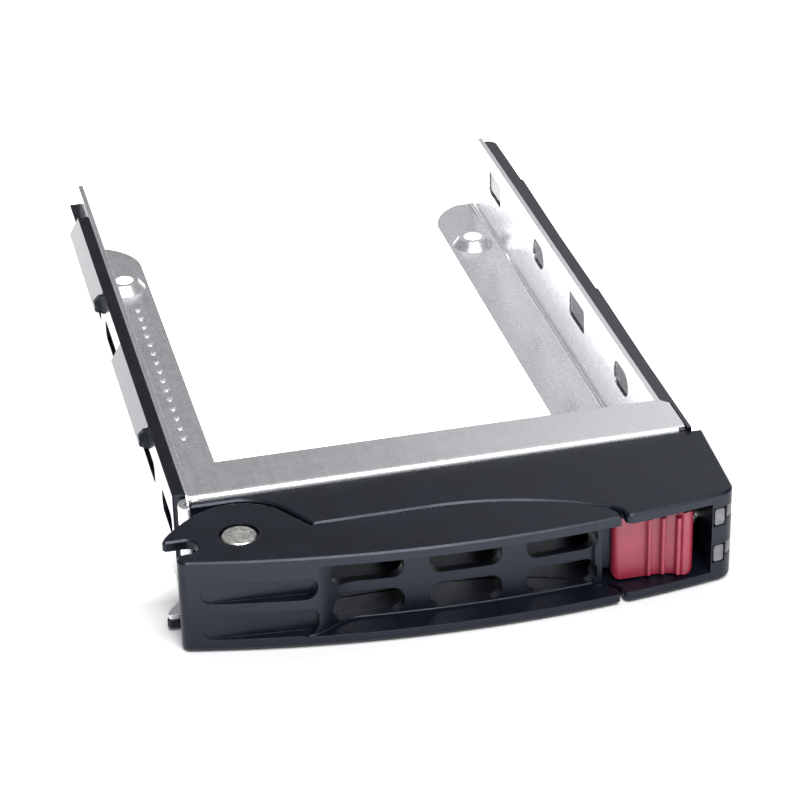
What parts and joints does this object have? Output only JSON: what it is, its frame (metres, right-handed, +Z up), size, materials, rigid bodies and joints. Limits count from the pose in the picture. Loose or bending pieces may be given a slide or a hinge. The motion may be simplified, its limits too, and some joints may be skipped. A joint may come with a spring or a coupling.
{
  "type": "hot-swap drive tray",
  "caption": "Empty hot-swap tray for a 2.5-inch drive: open steel chassis, plastic side rails, slotted front lever and red release latch.",
  "frame": {"origin": "centre of the four drive screw holes, on the plane of the raised seats that the drive sits on", "axes": "+X to the right seen from the front, +Y towards the connector end, +Z up, away from the flanges that hold the drive"},
  "size_m": [0.0806, 0.1323, 0.0153],
  "materials": {
    "galvanised_steel": "galvanised sheet steel, satin and finely mottled",
    "black_plastic": "black moulded plastic with a fine spark-eroded grain",
    "red_plastic": "dark red moulded plastic, semi-gloss",
    "light_pipe": "frosted clear acrylic light pipe",
    "smoked_lens": "smoked translucent acrylic",
    "pin_steel": "nickel-plated turned steel, mottled end face",
    "spring_steel": "drawn spring steel",
    "fastener_steel": "zinc-plated screws"
  },
  "bodies": {
    "tray": {"steel_chassis": "galvanised_steel", "left_rail": "black_plastic", "right_rail": "black_plastic", "bezel_body": "black_plastic", "bezel_screws": "fastener_steel", "lower_corner_lens": "smoked_lens", "upper_corner_lens": "smoked_lens", "lower_light_pipe": "light_pipe", "upper_light_pipe": "light_pipe", "pivot_pin": "pin_steel", "pivot_clip": "spring_steel", "latch_guide_pin": "pin_steel", "latch_spring": "spring_steel", "lever_spring": "spring_steel"},
    "lever": {"lever": "black_plastic", "hook_plate": "galvanised_steel", "hook_rivets": "pin_steel"},
    "latch": {"release_latch": "red_plastic"}
  },
  "joints": [
    {"name": "lever_hinge", "type": "hinge", "parent": "tray", "child": "lever", "pos_m": [-0.0306, -0.0672, 0.0052], "axis": [0, 0, -1], "range_deg": [0, 40], "deforming": ["lever_spring"]},
    {"name": "latch_slide", "type": "slide", "parent": "tray", "child": "latch", "axis": [1, 0, 0], "range_m": [0, 0.0024], "stiffness_N_per_m": 300, "deforming": ["latch_spring"]}
  ]
}
